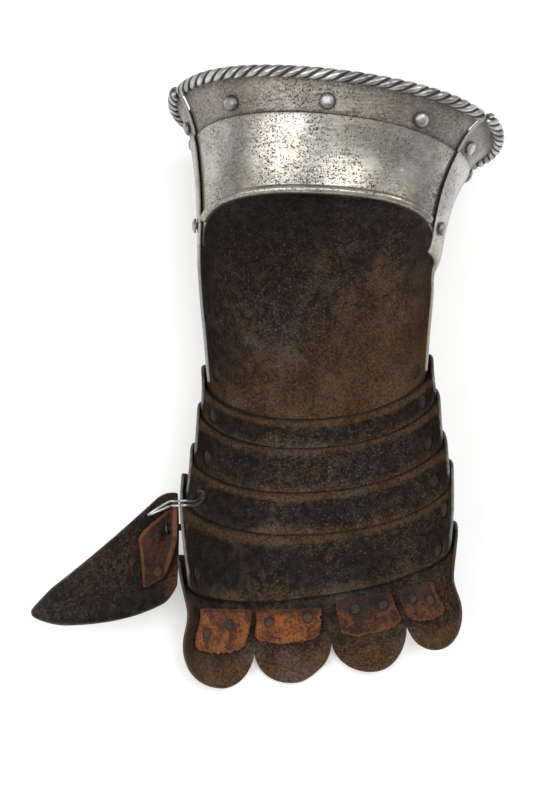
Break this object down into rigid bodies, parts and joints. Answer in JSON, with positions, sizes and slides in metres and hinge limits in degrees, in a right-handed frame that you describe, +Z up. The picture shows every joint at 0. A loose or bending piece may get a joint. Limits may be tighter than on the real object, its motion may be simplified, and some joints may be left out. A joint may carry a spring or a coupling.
{
  "type": "armoured gauntlet",
  "caption": "Plate gauntlet for a right hand: roped steel cuff, hinged lames over the hand, scalloped knuckle plate, loose thumb plate, worn and rusted.",
  "frame": {"origin": "middle of the box's floor, with the gauntlet lying on its back", "axes": "+Y from the fingers to the elbow, +Z up from the back of the hand to the palm, +X to the little finger's side"},
  "size_m": [0.1902, 0.2408, 0.1145],
  "materials": {
    "bright_steel": "worn, pitted and patchily polished steel",
    "rusted_steel": "dark, rough, rust-browned wrought steel",
    "rivet_steel": "dull worn rivet heads",
    "leather": "old napped leather, cracked and curled",
    "wire": "plain bright wire"
  },
  "bodies": {
    "cuff": {"back_plate": "bright_steel", "palm_plate": "bright_steel", "seam_rivet_1": "rivet_steel", "seam_rivet_2": "rivet_steel", "seam_rivet_3": "rivet_steel", "seam_rivet_4": "rivet_steel", "palm_rivet_1": "rivet_steel", "palm_rivet_2": "rivet_steel", "palm_rivet_3": "rivet_steel", "back_rivet_1": "rivet_steel", "back_rivet_2": "rivet_steel", "back_rivet_3": "rivet_steel", "back_rivet_4": "rivet_steel", "back_rivet_5": "rivet_steel"},
    "lame_1": {"lame_1": "rusted_steel", "pivot_rivet_1a": "rivet_steel", "pivot_rivet_1b": "rivet_steel"},
    "lame_2": {"lame_2": "rusted_steel", "pivot_rivet_2a": "rivet_steel", "pivot_rivet_2b": "rivet_steel"},
    "lame_3": {"lame_3": "rusted_steel", "pivot_rivet_3a": "rivet_steel", "pivot_rivet_3b": "rivet_steel"},
    "lame_4": {"lame_4": "rusted_steel", "thumb_plate": "rusted_steel", "pivot_rivet_4b": "rivet_steel", "lame_rivet": "rivet_steel", "thumb_rivet_1": "rivet_steel", "thumb_rivet_2": "rivet_steel", "thumb_tab_rivet": "rivet_steel", "thumb_tab": "leather", "wire_loop": "wire"},
    "knuckles": {"knuckle_plate": "rusted_steel", "pivot_rivet_5a": "rivet_steel", "pivot_rivet_5b": "rivet_steel", "tab_rivet_1": "rivet_steel", "tab_rivet_2": "rivet_steel", "tab_rivet_3": "rivet_steel", "tab_rivet_4": "rivet_steel", "tab_rivet_5": "rivet_steel", "tab_rivet_6": "rivet_steel", "tab_rivet_7": "rivet_steel", "tab_rivet_8": "rivet_steel", "finger_tab_1": "leather", "finger_tab_2": "leather", "finger_tab_3": "leather", "finger_tab_4": "leather"}
  },
  "joints": [
    {"name": "lame_1_pivot", "type": "hinge", "parent": "cuff", "child": "lame_1", "pos_m": [0.01934, 0.00542, 0.03524], "axis": [-0.9936, -0.0025, -0.1126], "range_deg": [0, 8]},
    {"name": "lame_2_pivot", "type": "hinge", "parent": "lame_1", "child": "lame_2", "pos_m": [0.01988, -0.00942, 0.03405], "axis": [-0.9917, -0.0605, -0.1136], "range_deg": [0, 8]},
    {"name": "lame_3_pivot", "type": "hinge", "parent": "lame_2", "child": "lame_3", "pos_m": [0.01995, -0.02685, 0.03243], "axis": [-0.9916, -0.0613, -0.114], "range_deg": [0, 8]},
    {"name": "lame_4_pivot", "type": "hinge", "parent": "lame_3", "child": "lame_4", "pos_m": [0.01937, -0.04167, 0.03149], "axis": [-0.994, -0.0412, -0.1014], "range_deg": [0, 8]},
    {"name": "knuckles_pivot", "type": "hinge", "parent": "lame_4", "child": "knuckles", "pos_m": [0.01961, -0.07327, 0.02948], "axis": [-0.9896, -0.0924, -0.11], "range_deg": [0, 8]}
  ]
}
